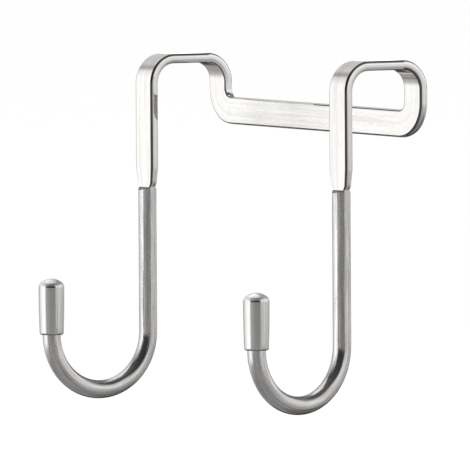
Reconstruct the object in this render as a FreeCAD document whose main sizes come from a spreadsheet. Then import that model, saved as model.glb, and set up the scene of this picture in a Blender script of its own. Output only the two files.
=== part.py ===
import FreeCAD
import Part
import math
import os
import Sketcher

# Over door hook, bent from one round steel rod whose middle is pressed flat.
# Two flat straps pass over the door, a flat crossbar joins them behind it, and
# in front each leg turns round again and ends in a hook with a cap on its tip.
# Frame: millimetres, origin at the middle of the door's top edge, +X along the
# crossbar to the right, +Y through the door to the back, +Z up.

DIMENSIONS = (
    ("rod_diameter", 5.0, "round steel rod of the legs and hooks"),
    ("strip_width", 6.8, "flat faces of the pressed part, from arris to arris"),
    ("strip_thickness", 2.55, "thickness of the pressed part"),
    ("arris_inset", 0.2, "bevel of the pressed part's long edges, across the flats"),
    ("arris_drop", 0.15, "the same bevel, down the sides"),
    ("arm_spacing", 86.4, "between the centre lines of the two arms"),
    ("door_gap", 21.6, "clear depth between the front rods and the crossbar"),
    ("strap_bend_radius", 5.5, "inside radius of the bends over the door"),
    ("bar_corner_radius", 2.1, "inside radius of the crossbar's two corners"),
    ("bar_drop_left", 13.2, "crossbar's centre line below the door's top, at the left leg"),
    ("bar_drop_right", 14.9, "crossbar's centre line below the door's top, at the right leg"),
    ("flat_length_left", 33.6, "door's top down to the foot of the left leg's flats"),
    ("flat_length_right", 31.6, "door's top down to the foot of the right leg's flats"),
    ("taper_length", 5.5, "length over which the flats narrow to the rod"),
    ("neck_length", 1.1, "last part of it, where the flats' corners are cut off"),
    ("neck_thickness", 2.2, "thickness of the pressed part at its foot"),
    ("neck_spread", 0.7, "how far each round side is pushed out at the neck's top"),
    ("press_edge_radius", 0.35, "hollow where the pressed flat runs out"),
    ("shoulder_slope", 18.0, "slope of the rod's shoulder below the flats, in degrees"),
    ("shoulder_radius", 0.3, "rounding of the rod's shoulder below the flats"),
    ("press_margin", 1.0, "how far the pressing tool reaches past the rod"),
    ("hook_radius", 15.4, "radius of the hooks' centre line"),
    ("hook_drop", 73.0, "door's top down to the centre of the hooks' bends"),
    ("hook_splay", 5.0, "turn of each hook outwards about its leg, in degrees"),
    ("cap_length", 15.3, "height of the caps"),
    ("cap_wall", 1.0, "wall of the caps"),
    ("cap_crown_radius", 1.75, "rounding between a cap's wall and its top"),
    ("cap_dome_radius", 4.5, "radius of a cap's domed top"),
    ("cap_rim_bevel", 0.5, "bevel outside a cap's mouth"),
    ("cap_end_wall", 2.4, "metal between the rod's tip and the top of the cap"),
    ("cap_clearance", 0.05, "radial room between the rod and a cap's bore"),
)

doc = FreeCAD.newDocument("OverDoorHook")
sheet = doc.addObject("Spreadsheet::Sheet", "Dimensions")
for row, (alias, size, note) in enumerate(DIMENSIONS, start=1):
    sheet.set("A%d" % row, alias)
    sheet.set("B%d" % row, str(size))
    sheet.set("C%d" % row, note)
    sheet.setAlias("B%d" % row, alias)
doc.recompute()


def dim(alias):
    """Value of a driving dimension, read from the sheet."""
    return float(sheet.get(alias))


# Lengths that follow from the driving dimensions, as formulas for the document

HALF_SPACING = "Dimensions.arm_spacing / 2"
ROD_RADIUS = "Dimensions.rod_diameter / 2"
HALF_THICKNESS = "Dimensions.strip_thickness / 2"
NECK_HALF = "Dimensions.neck_thickness / 2"
FRONT_DEPTH = "(Dimensions.door_gap / 2 + Dimensions.rod_diameter / 2)"
BACK_DEPTH = "(Dimensions.door_gap / 2 + Dimensions.strip_thickness / 2)"
CHORD = "sqrt((Dimensions.rod_diameter / 2) ^ 2 - (Dimensions.strip_thickness / 2) ^ 2)"
SIDE_SHIFT = "(Dimensions.strip_width / 2 - %s)" % CHORD
STRAP_BEND = "(Dimensions.strap_bend_radius + Dimensions.strip_thickness / 2)"
CORNER_BEND = "(Dimensions.bar_corner_radius + Dimensions.rod_diameter / 2 + %s)" % SIDE_SHIFT
PRESS_DEPTH = "(Dimensions.rod_diameter - Dimensions.neck_thickness) / 2"
PRESS_EDGE = "min(Dimensions.press_edge_radius; %s / 2)" % PRESS_DEPTH
SHOULDER = "min(Dimensions.shoulder_radius; %s * 3 / 10)" % PRESS_DEPTH
TIP_LENGTH = "(Dimensions.cap_length - Dimensions.cap_end_wall)"
CAP_BORE = "(Dimensions.rod_diameter / 2 + Dimensions.cap_clearance)"
CAP_RADIUS = "(%s + Dimensions.cap_wall)" % CAP_BORE

# The same lengths as numbers, to place the sketches' lines before they are solved

half_spacing = dim("arm_spacing") / 2
rod_radius = dim("rod_diameter") / 2
half_thickness = dim("strip_thickness") / 2
neck_half = dim("neck_thickness") / 2
front_depth = dim("door_gap") / 2 + rod_radius
back_depth = dim("door_gap") / 2 + half_thickness
chord = math.sqrt(rod_radius ** 2 - half_thickness ** 2)
side_shift = dim("strip_width") / 2 - chord
strap_bend = dim("strap_bend_radius") + half_thickness
corner_bend = dim("bar_corner_radius") + rod_radius + side_shift
press_depth = rod_radius - neck_half
press_edge = min(dim("press_edge_radius"), press_depth / 2)
shoulder = min(dim("shoulder_radius"), press_depth * 3 / 10)
tip_length = dim("cap_length") - dim("cap_end_wall")
cap_bore = rod_radius + dim("cap_clearance")
cap_radius = cap_bore + dim("cap_wall")
splay = math.radians(dim("hook_splay"))

RIGHT_ANGLE = math.pi / 2
HALF_TURN = math.pi
FULL_TURN = 2 * math.pi

# Names of a sketch's own origin, axes and points in its constraints

ORIGIN = (-1, 1)
X_AXIS, Y_AXIS = range(-1, -3, -1)
START, END, CENTRE = range(1, 4)


def point(x, y):
    return FreeCAD.Vector(x, y, 0)


def line(sketch, x1, y1, x2, y2):
    return sketch.addGeometry(Part.LineSegment(point(x1, y1), point(x2, y2)), False)


def arc(sketch, x, y, radius, first, last):
    """Arc drawn anticlockwise from the angle first to the angle last."""
    circle = Part.Circle(point(x, y), FreeCAD.Vector(0, 0, 1), radius)
    return sketch.addGeometry(Part.ArcOfCircle(circle, first, last), False)


def bind(sketch, *constraint):
    return sketch.addConstraint(Sketcher.Constraint(*constraint))


def drive(sketch, formula, *constraint):
    """Add a constraint with a size and bind the size to the sheet."""
    index = bind(sketch, *constraint)
    sketch.setExpression("Constraints[%d]" % index, formula)


def new_sketch(body, name, role, offsets, turn_axis=None):
    """Sketch on an origin plane of its body, moved along the plane's own axes."""
    plane = next(p for p in body.Origin.OriginFeatures if p.Role == role)
    sketch = body.newObject("Sketcher::SketchObject", name)
    sketch.AttachmentSupport = (plane, [""])
    sketch.MapMode = "FlatFace"
    if turn_axis is not None:
        turn = FreeCAD.Rotation(turn_axis, dim("hook_splay"))
        sketch.AttachmentOffset = FreeCAD.Placement(FreeCAD.Vector(), turn)
        sketch.setExpression(".AttachmentOffset.Rotation.Angle", "Dimensions.hook_splay * 1 deg")
    for axis, formula in offsets.items():
        sketch.setExpression(".AttachmentOffset.Base." + axis, formula)
    return sketch


def strip_section(body, name, offsets, thickness_name, shift, shift_formula):
    """Section of the pressed rod: two flats and what is left of its round sides.

    The sides keep the rod's radius; their centres lie shift either side of the middle.
    A small bevel breaks each arris between a flat and a side.
    """
    sketch = new_sketch(body, name, "XY_Plane", offsets)
    half = dim(thickness_name) / 2
    half_formula = "Dimensions.%s / 2" % thickness_name
    flat_formula = "sqrt((%s) ^ 2 - (%s) ^ 2)" % (ROD_RADIUS, half_formula)
    side_end = half - dim("arris_drop")
    reach = math.sqrt(rod_radius ** 2 - side_end ** 2)
    edge = shift + math.sqrt(rod_radius ** 2 - half ** 2) - dim("arris_inset")
    outside = shift + reach
    angle = math.atan2(side_end, reach)
    right = arc(sketch, shift, 0, rod_radius, -angle, angle)
    top_right = line(sketch, outside, side_end, edge, half)
    top = line(sketch, edge, half, -edge, half)
    top_left = line(sketch, -edge, half, -outside, side_end)
    left = arc(sketch, -shift, 0, rod_radius, HALF_TURN - angle, HALF_TURN + angle)
    low_left = line(sketch, -outside, -side_end, -edge, -half)
    low = line(sketch, -edge, -half, edge, -half)
    low_right = line(sketch, edge, -half, outside, -side_end)
    outline = (right, top_right, top, top_left, left, low_left, low, low_right)
    for here, after in zip(outline, outline[1:] + outline[:1]):
        bind(sketch, "Coincident", here, END, after, START)
    bind(sketch, "Equal", right, left)
    bind(sketch, "Symmetric", right, START, right, END, X_AXIS)
    bind(sketch, "Symmetric", left, START, left, END, X_AXIS)
    bind(sketch, "Symmetric", top, START, top, END, Y_AXIS)
    bind(sketch, "Symmetric", low, START, low, END, Y_AXIS)
    drive(sketch, ROD_RADIUS, "Radius", right, rod_radius)
    drive(sketch, half_formula, "DistanceY", *ORIGIN, top, START, half)
    drive(sketch, half_formula, "DistanceY", low, START, *ORIGIN, half)
    drive(sketch, "Dimensions.arris_drop", "DistanceY", right, END, top, START, dim("arris_drop"))
    drive(sketch, "Dimensions.arris_drop", "DistanceY", left, START, top, END, dim("arris_drop"))
    flat_edge = "%s + %s - Dimensions.arris_inset" % (flat_formula, shift_formula)
    drive(sketch, flat_edge, "DistanceX", *ORIGIN, top, START, edge)
    drive(sketch, flat_edge, "DistanceX", *ORIGIN, low, END, edge)
    if shift > 0:
        drive(sketch, shift_formula, "DistanceX", *ORIGIN, right, CENTRE, shift)
        drive(sketch, shift_formula, "DistanceX", left, CENTRE, *ORIGIN, shift)
    else:
        bind(sketch, "PointOnObject", right, CENTRE, Y_AXIS)
        bind(sketch, "PointOnObject", left, CENTRE, Y_AXIS)
    return sketch


def strap_path(body, name, x_formula, low_end, low_formula):
    """Side view of one strap: up the front leg, over the door and down behind it."""
    sketch = new_sketch(body, name, "YZ_Plane", {"z": x_formula})
    bend = dim("strap_bend_radius")
    leg = line(sketch, -front_depth, -low_end, -front_depth, -bend)
    front = arc(sketch, strap_bend - front_depth, -bend, strap_bend, RIGHT_ANGLE, HALF_TURN)
    over = line(
        sketch, strap_bend - front_depth, half_thickness, back_depth - strap_bend, half_thickness
    )
    back = arc(sketch, back_depth - strap_bend, -bend, strap_bend, 0, RIGHT_ANGLE)
    bind(sketch, "Tangent", leg, END, front, END)
    bind(sketch, "Tangent", front, START, over, START)
    bind(sketch, "Tangent", over, END, back, END)
    bind(sketch, "Vertical", leg)
    bind(sketch, "Horizontal", over)
    bind(sketch, "Horizontal", back, CENTRE, back, START)
    bind(sketch, "Equal", front, back)
    drive(sketch, STRAP_BEND, "Radius", front, strap_bend)
    drive(sketch, FRONT_DEPTH, "DistanceX", leg, START, *ORIGIN, front_depth)
    drive(sketch, BACK_DEPTH, "DistanceX", *ORIGIN, back, START, back_depth)
    drive(sketch, HALF_THICKNESS, "DistanceY", *ORIGIN, over, START, half_thickness)
    drive(sketch, low_formula, "DistanceY", leg, START, *ORIGIN, low_end)
    return sketch


def bar_path(body, name):
    """Back view of the crossbar with the two back legs that it hangs from."""
    sketch = new_sketch(body, name, "XZ_Plane", {"z": "-" + BACK_DEPTH})
    top = -dim("strap_bend_radius")
    left_low = -dim("bar_drop_left")
    right_low = -dim("bar_drop_right")
    slope = math.atan2(right_low - left_low, 2 * half_spacing)
    left_cut = corner_bend * math.tan((RIGHT_ANGLE + slope) / 2)
    right_cut = corner_bend * math.tan((RIGHT_ANGLE - slope) / 2)
    bar_x1 = left_cut * math.cos(slope) - half_spacing
    bar_y1 = left_low + left_cut * math.sin(slope)
    bar_x2 = half_spacing - right_cut * math.cos(slope)
    bar_y2 = right_low - right_cut * math.sin(slope)
    bottom = HALF_TURN + RIGHT_ANGLE + slope
    left_leg = line(sketch, -half_spacing, top, -half_spacing, left_low + left_cut)
    left_corner = arc(
        sketch, corner_bend - half_spacing, left_low + left_cut, corner_bend, HALF_TURN, bottom
    )
    bar = line(sketch, bar_x1, bar_y1, bar_x2, bar_y2)
    right_corner = arc(
        sketch, half_spacing - corner_bend, right_low + right_cut, corner_bend, bottom, FULL_TURN
    )
    right_leg = line(sketch, half_spacing, right_low + right_cut, half_spacing, top)
    level = line(sketch, -half_spacing, left_low, half_spacing, right_low)
    sketch.toggleConstruction(level)
    bind(sketch, "Tangent", left_leg, END, left_corner, START)
    bind(sketch, "Tangent", left_corner, END, bar, START)
    bind(sketch, "Tangent", bar, END, right_corner, START)
    bind(sketch, "Tangent", right_corner, END, right_leg, START)
    bind(sketch, "Vertical", left_leg)
    bind(sketch, "Vertical", right_leg)
    bind(sketch, "Equal", left_corner, right_corner)
    bind(sketch, "PointOnObject", level, START, left_leg)
    bind(sketch, "PointOnObject", level, END, right_leg)
    bind(sketch, "PointOnObject", bar, START, level)
    bind(sketch, "PointOnObject", bar, END, level)
    drive(sketch, CORNER_BEND, "Radius", left_corner, corner_bend)
    drive(sketch, HALF_SPACING, "DistanceX", left_leg, START, *ORIGIN, half_spacing)
    drive(sketch, HALF_SPACING, "DistanceX", *ORIGIN, right_leg, END, half_spacing)
    drive(sketch, "Dimensions.strap_bend_radius", "DistanceY", left_leg, START, *ORIGIN, -top)
    drive(sketch, "Dimensions.strap_bend_radius", "DistanceY", right_leg, END, *ORIGIN, -top)
    drive(sketch, "Dimensions.bar_drop_left", "DistanceY", level, START, *ORIGIN, -left_low)
    drive(sketch, "Dimensions.bar_drop_right", "DistanceY", level, END, *ORIGIN, -right_low)
    return sketch


def hook_path(body, name, x_formula, turn_axis, neck, neck_formula):
    """Side view of one round leg and its hook, in a plane turned about the leg."""
    offsets = {"x": "-" + FRONT_DEPTH, "z": x_formula}
    sketch = new_sketch(body, name, "YZ_Plane", offsets, turn_axis)
    radius = dim("hook_radius")
    drop = dim("hook_drop")
    leg = line(sketch, 0, -neck, 0, -drop)
    bend = arc(sketch, -radius, -drop, radius, HALF_TURN, FULL_TURN)
    tip = line(sketch, -2 * radius, -drop, -2 * radius, tip_length - drop)
    bind(sketch, "Tangent", leg, END, bend, END)
    bind(sketch, "Tangent", bend, START, tip, START)
    bind(sketch, "Vertical", leg)
    bind(sketch, "Vertical", tip)
    bind(sketch, "PointOnObject", leg, START, Y_AXIS)
    drive(sketch, "Dimensions.hook_radius", "Radius", bend, radius)
    drive(sketch, neck_formula, "DistanceY", leg, START, *ORIGIN, neck)
    drive(sketch, "Dimensions.hook_drop", "DistanceY", leg, END, *ORIGIN, drop)
    drive(sketch, TIP_LENGTH, "DistanceY", tip, START, tip, END, tip_length)
    return sketch


def rod_section(body, name, offsets):
    """Round section of the rod."""
    sketch = new_sketch(body, name, "XY_Plane", offsets)
    circle = Part.Circle(point(0, 0), FreeCAD.Vector(0, 0, 1), rod_radius)
    index = sketch.addGeometry(circle, False)
    bind(sketch, "Coincident", index, CENTRE, *ORIGIN)
    drive(sketch, ROD_RADIUS, "Radius", index, rod_radius)
    return sketch


def press_outline(sketch, face, flat_length, flat_formula):
    """Side view of what the press takes off one face of the rod above its shoulder.

    The flat runs out in a small hollow, and a sloping shoulder rises to the rod.
    face is -1 for the front of the rod and 1 for its back.
    """
    slope = math.radians(dim("shoulder_slope"))
    lean = math.sin(slope)
    upright = math.cos(slope)
    hollow = neck_half + press_edge
    round_off = rod_radius - shoulder
    outside = rod_radius + dim("press_margin")
    high_x = hollow - press_edge * lean
    high_y = -flat_length - press_edge * upright
    low_x = round_off + shoulder * lean
    low_y = high_y - (low_x - high_x) * lean / upright
    low = low_y - shoulder * upright
    if face > 0:
        run_out = arc(
            sketch, hollow, -flat_length, press_edge, HALF_TURN, HALF_TURN + RIGHT_ANGLE - slope
        )
        run_out_end = END
        rounding = arc(sketch, round_off, low, shoulder, 0, RIGHT_ANGLE - slope)
        rounding_top = END
        turn = -slope
        turn_formula = "-Dimensions.shoulder_slope * 1 deg"
    else:
        run_out = arc(sketch, -hollow, -flat_length, press_edge, slope - RIGHT_ANGLE, 0)
        run_out_end = START
        rounding = arc(sketch, -round_off, low, shoulder, RIGHT_ANGLE + slope, HALF_TURN)
        rounding_top = START
        turn = slope - HALF_TURN
        turn_formula = "(Dimensions.shoulder_slope - 180) * 1 deg"
    run_out_top = START + END - run_out_end
    rounding_low = START + END - rounding_top
    shelf = line(sketch, face * high_x, high_y, face * low_x, low_y)
    under = line(sketch, face * rod_radius, low, face * outside, low)
    side = line(sketch, face * outside, low, face * outside, -flat_length)
    above = line(sketch, face * outside, -flat_length, face * neck_half, -flat_length)
    bind(sketch, "Tangent", run_out, run_out_end, shelf, START)
    bind(sketch, "Tangent", shelf, END, rounding, rounding_top)
    bind(sketch, "Coincident", rounding, rounding_low, under, START)
    bind(sketch, "Coincident", under, END, side, START)
    bind(sketch, "Coincident", side, END, above, START)
    bind(sketch, "Coincident", above, END, run_out, run_out_top)
    bind(sketch, "PointOnObject", run_out, CENTRE, above)
    bind(sketch, "PointOnObject", rounding, CENTRE, under)
    bind(sketch, "Horizontal", under)
    bind(sketch, "Horizontal", above)
    bind(sketch, "Vertical", side)
    drive(sketch, turn_formula, "Angle", shelf, turn)
    drive(sketch, PRESS_EDGE, "Radius", run_out, press_edge)
    drive(sketch, SHOULDER, "Radius", rounding, shoulder)
    drive(sketch, flat_formula, "DistanceY", above, END, *ORIGIN, flat_length)
    reaches = (
        (above, END, NECK_HALF, neck_half),
        (under, START, ROD_RADIUS, rod_radius),
        (under, END, ROD_RADIUS + " + Dimensions.press_margin", outside),
    )
    for element, place, formula, reach in reaches:
        if face > 0:
            drive(sketch, formula, "DistanceX", *ORIGIN, element, place, reach)
        else:
            drive(sketch, formula, "DistanceX", element, place, *ORIGIN, reach)


def pipe(body, name, section, path):
    """Sweep a section along a path."""
    feature = body.newObject("PartDesign::AdditivePipe", name)
    feature.Profile = section
    feature.Spine = path
    feature.Mode = "Standard"
    feature.Transition = "Transformed"
    return feature


# Bent frame: one rod from the left hook's tip to the right hook's tip

frame = doc.addObject("PartDesign::Body", "BentFrame")
frame.Label = "bent_frame"


def add_arm(side_name, side):
    """One arm: the strap over the door, the taper, the round leg and its hook.

    side is -1 for the left arm and 1 for the right arm.
    """
    x_formula = HALF_SPACING if side > 0 else "-" + HALF_SPACING
    turn_axis = FreeCAD.Vector(0, side, 0)
    flat_name = "Dimensions.flat_length_" + side_name.lower()
    flat_length = dim("flat_length_" + side_name.lower())
    low_end = flat_length - dim("taper_length")
    low_formula = "(%s - Dimensions.taper_length)" % flat_name
    neck_formula = "(%s - Dimensions.neck_length)" % flat_name
    strip_place = {"x": x_formula, "y": "-" + FRONT_DEPTH, "z": "-" + low_formula}
    neck_place = {"x": x_formula, "y": "-" + FRONT_DEPTH, "z": "-" + neck_formula}
    foot_place = {"x": x_formula, "y": "-" + FRONT_DEPTH, "z": "-" + flat_name}

    strip = strip_section(
        frame, side_name + "StripSection", strip_place, "strip_thickness", side_shift, SIDE_SHIFT
    )
    path = strap_path(frame, side_name + "StrapPath", x_formula, low_end, low_formula)
    pipe(frame, side_name + "Strap", strip, path)

    neck = strip_section(
        frame, side_name + "NeckSection", neck_place, "neck_thickness",
        dim("neck_spread"), "Dimensions.neck_spread"
    )
    foot = strip_section(
        frame, side_name + "FootSection", foot_place, "neck_thickness", 0, "0"
    )
    taper = frame.newObject("PartDesign::AdditiveLoft", side_name + "Taper")
    taper.Profile = strip
    taper.Sections = [neck, foot]
    taper.Ruled = True

    rod = rod_section(frame, side_name + "RodSection", foot_place)
    hook = hook_path(
        frame, side_name + "HookPath", x_formula, turn_axis, flat_length, flat_name
    )
    pipe(frame, side_name + "Hook", rod, hook)

    press_place = {"x": "-" + FRONT_DEPTH, "z": x_formula}
    outline = new_sketch(frame, side_name + "PressOutline", "YZ_Plane", press_place)
    press_outline(outline, -1, flat_length, flat_name)
    press_outline(outline, 1, flat_length, flat_name)
    doc.recompute()
    before = frame.Shape.Volume
    press = frame.newObject("PartDesign::Pocket", side_name + "Press")
    press.Profile = outline
    press.SideType = "Symmetric"
    press.setExpression("Length", "Dimensions.rod_diameter + 2 * Dimensions.press_margin")
    doc.recompute()
    if frame.Shape.Volume >= before:
        raise RuntimeError(side_name + " shoulder was not pressed")


def add_bar():
    """The crossbar and the back legs, pressed flat like the straps."""
    place = {"x": "-" + HALF_SPACING, "y": BACK_DEPTH, "z": "-Dimensions.strap_bend_radius"}
    section = strip_section(
        frame, "BarSection", place, "strip_thickness", side_shift, SIDE_SHIFT
    )
    path = bar_path(frame, "BarPath")
    pipe(frame, "Crossbar", section, path)


add_arm("Left", -1)
add_bar()
add_arm("Right", 1)
doc.recompute()


# End caps: round cups pressed over the tips of the hooks

def add_cap(label, name, side):
    """Revolved cup with a blind bore, standing on the end of a hook's bend."""
    body = doc.addObject("PartDesign::Body", name)
    body.Label = label
    sketch = new_sketch(body, name + "Profile", "XZ_Plane", {})
    length = dim("cap_length")
    rim = dim("cap_rim_bevel")
    crown = dim("cap_crown_radius")
    dome = dim("cap_dome_radius")
    crown_x = cap_radius - crown
    centre_rise = math.sqrt((dome - crown) ** 2 - crown_x ** 2)
    dome_y = length - dome
    crown_y = dome_y + centre_rise
    meet = math.atan2(centre_rise, crown_x)
    mouth = line(sketch, cap_bore, 0, cap_radius - rim, 0)
    bevel = line(sketch, cap_radius - rim, 0, cap_radius, rim)
    wall = line(sketch, cap_radius, rim, cap_radius, crown_y)
    crown_arc = arc(sketch, crown_x, crown_y, crown, 0, meet)
    dome_arc = arc(sketch, 0, dome_y, dome, meet, RIGHT_ANGLE)
    middle = line(sketch, 0, length, 0, tip_length)
    seat = line(sketch, 0, tip_length, cap_bore, tip_length)
    bore = line(sketch, cap_bore, tip_length, cap_bore, 0)
    bind(sketch, "Coincident", mouth, END, bevel, START)
    bind(sketch, "Coincident", bevel, END, wall, START)
    bind(sketch, "Tangent", wall, END, crown_arc, START)
    bind(sketch, "Tangent", crown_arc, END, dome_arc, START)
    bind(sketch, "Coincident", dome_arc, END, middle, START)
    bind(sketch, "Coincident", middle, END, seat, START)
    bind(sketch, "Coincident", seat, END, bore, START)
    bind(sketch, "Coincident", bore, END, mouth, START)
    bind(sketch, "Horizontal", mouth)
    bind(sketch, "Vertical", wall)
    bind(sketch, "PointOnObject", dome_arc, CENTRE, Y_AXIS)
    bind(sketch, "PointOnObject", middle, START, Y_AXIS)
    bind(sketch, "PointOnObject", middle, END, Y_AXIS)
    bind(sketch, "Horizontal", seat)
    bind(sketch, "Vertical", bore)
    bind(sketch, "PointOnObject", mouth, START, X_AXIS)
    drive(sketch, CAP_BORE, "DistanceX", *ORIGIN, mouth, START, cap_bore)
    drive(sketch, CAP_RADIUS, "DistanceX", *ORIGIN, wall, START, cap_radius)
    drive(sketch, "Dimensions.cap_rim_bevel", "DistanceX", bevel, START, bevel, END, rim)
    drive(sketch, "Dimensions.cap_rim_bevel", "DistanceY", bevel, START, bevel, END, rim)
    drive(sketch, "Dimensions.cap_crown_radius", "Radius", crown_arc, crown)
    drive(sketch, "Dimensions.cap_dome_radius", "Radius", dome_arc, dome)
    drive(sketch, "Dimensions.cap_length", "DistanceY", *ORIGIN, dome_arc, END, length)
    drive(sketch, TIP_LENGTH, "DistanceY", *ORIGIN, seat, START, tip_length)
    cup = body.newObject("PartDesign::Revolution", name + "Cup")
    cup.Profile = sketch
    cup.ReferenceAxis = (sketch, ["V_Axis"])
    cup.Angle = 360.0

    sideways = "(%s + 2 * Dimensions.hook_radius * sin(Dimensions.hook_splay))" % HALF_SPACING
    forward = "(%s + 2 * Dimensions.hook_radius * cos(Dimensions.hook_splay))" % FRONT_DEPTH
    body.setExpression(".Placement.Base.x", sideways if side > 0 else "-" + sideways)
    body.setExpression(".Placement.Base.y", "-" + forward)
    body.setExpression(".Placement.Base.z", "-Dimensions.hook_drop")
    return body


left_cap = add_cap("left_end_cap", "LeftEndCap", -1)
right_cap = add_cap("right_end_cap", "RightEndCap", 1)
doc.recompute()

# Check every object, then write each piece

for item in doc.Objects:
    if "Invalid" in item.State or "Error" in item.State:
        raise RuntimeError("%s failed: %s" % (item.Label, ", ".join(item.State)))

os.makedirs("parts", exist_ok=True)
for body in (frame, left_cap, right_cap):
    shape = body.Shape
    if shape.isNull() or not shape.isValid() or len(shape.Solids) != 1:
        raise RuntimeError("%s is not one sound solid" % body.Label)
    shape.exportStep("parts/%s.step" % body.Label)
    print("%s: volume %.1f mm3" % (body.Label, shape.Volume))
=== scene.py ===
"""Over door hook: the bent steel rod, its end caps and a small photo stage."""

import math
from collections import namedtuple

import bmesh
import bpy
import numpy as np
from bpy.props import FloatProperty, FloatVectorProperty, IntProperty, PointerProperty
from bpy.types import Operator, Panel, PropertyGroup
from mathutils import Matrix, Vector


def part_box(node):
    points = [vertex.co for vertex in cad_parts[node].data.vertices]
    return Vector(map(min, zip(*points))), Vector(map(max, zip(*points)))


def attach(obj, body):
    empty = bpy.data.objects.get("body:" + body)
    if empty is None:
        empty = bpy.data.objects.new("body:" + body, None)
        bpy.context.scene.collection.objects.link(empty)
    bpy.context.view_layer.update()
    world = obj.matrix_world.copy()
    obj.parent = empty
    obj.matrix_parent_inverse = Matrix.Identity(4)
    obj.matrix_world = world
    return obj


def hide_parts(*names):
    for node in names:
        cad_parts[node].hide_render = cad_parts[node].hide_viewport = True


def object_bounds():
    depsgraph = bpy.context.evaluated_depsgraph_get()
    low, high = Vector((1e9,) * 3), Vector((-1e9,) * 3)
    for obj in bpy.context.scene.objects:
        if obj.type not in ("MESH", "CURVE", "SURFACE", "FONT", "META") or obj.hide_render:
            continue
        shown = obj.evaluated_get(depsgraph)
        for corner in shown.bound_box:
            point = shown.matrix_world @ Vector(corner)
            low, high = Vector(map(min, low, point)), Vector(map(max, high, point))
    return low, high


bl_info = {
    "name": "Over Door Hook",
    "version": (1, 0, 0),
    "blender": (4, 5, 0),
    "location": "3D View > Sidebar > Door Hook",
    "description": "Bends the rod of an over door hook, presses its flats and adds its end caps",
    "category": "Object",
}

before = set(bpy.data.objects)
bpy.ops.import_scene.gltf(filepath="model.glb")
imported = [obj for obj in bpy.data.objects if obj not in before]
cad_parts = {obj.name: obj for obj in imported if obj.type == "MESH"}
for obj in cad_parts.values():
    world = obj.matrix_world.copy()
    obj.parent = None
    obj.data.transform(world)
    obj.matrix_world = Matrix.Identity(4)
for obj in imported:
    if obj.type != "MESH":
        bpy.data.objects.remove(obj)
CAD_LOW, CAD_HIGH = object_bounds()
MILLIMETRE = 0.001
QUARTER_TURN = math.pi / 2
HALF_TURN = math.pi

# The attribute that keeps each point's place in the straight rod
ROD_LINE = "rod_line"

# Places in a piece's list of materials after the first, which the round rod and a cap's
# wall keep: the rod's brighter flats and its painted shade along arrises and shoulders, and
# a cap's painted shadow line at the mouth and its top painted white as a highlight
FLAT_PAINT, ARRIS_SHADE_PAINT = 1, 2
RIM_SHADOW_PAINT, TOP_HIGHLIGHT_PAINT = 1, 2

# How finely the bends are divided
HOOK_STEPS = 64
STRAP_STEPS = 24
CORNER_STEPS = 20

# Points closer than this are one, first within a piece and then where two arms meet
MERGE_WITHIN = 1e-6
JOIN_WITHIN = 2e-6
# Points this far past a plane lie beyond it, and this near the flats lie on them
BEYOND = 1e-8
ON_FLAT_WITHIN = 1e-7
# Edges sharper than this angle stay sharp
SHARP_EDGE = math.radians(50)
# A face whose normal rises more than this faces up
FACES_UP = 0.3
# Share of the rim's rounding that takes the painted shadow line at a cap's mouth
RIM_SHADE_SHARE = 0.4

# Share of the crossbar's half length that is brushed evenly, and how much rougher its
# brushed flats are than the legs' flats
BRUSHED_SHARE = 0.7
BRUSHED_EXTRA = 0.2
# Marks in the steel, as noise squeezed across and drawn out along it. The rod's line
# holds a unit across and metres along, and a cap has metres all ways.
ROD_LINES = 26.0
FLAT_LINES = 7.0
GRAIN_FINENESS = 10
CAP_LINES = (300.0, 300.0, 9.0)
CAP_GRAIN = (300.0, 300.0, 60.0)
# Range over which the marks darken the steel, and the clouds in its gloss dull it
MARK_LIMITS = (0.36, 0.62)
CLOUD_LIMITS = (0.3, 0.7)
# Share of the fine grain in the marks, how much a full streak darkens the steel, how far
# its roughness strays either way, and the strength and the depth in metres of the relief
GRAIN_SHARE = 0.35
STREAK_DARKNESS = 0.4
GLOSS_SPREAD = 0.3
RELIEF_STRENGTH = 0.8
RELIEF_DEPTH = 0.00003

# What the steel mirrors: the inside of a light tent, by elevation in degrees. A grey
# table, a dark room above the horizon and a dim ceiling.
TENT_RADIUS = 8.0
TENT_ROOM = (
    (-90, 0.32),
    (-30, 0.38),
    (-8, 0.35),
    (-1, 0.3),
    (4, 0.05),
    (38, 0.06),
    (58, 0.09),
    (76, 0.16),
)
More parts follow.
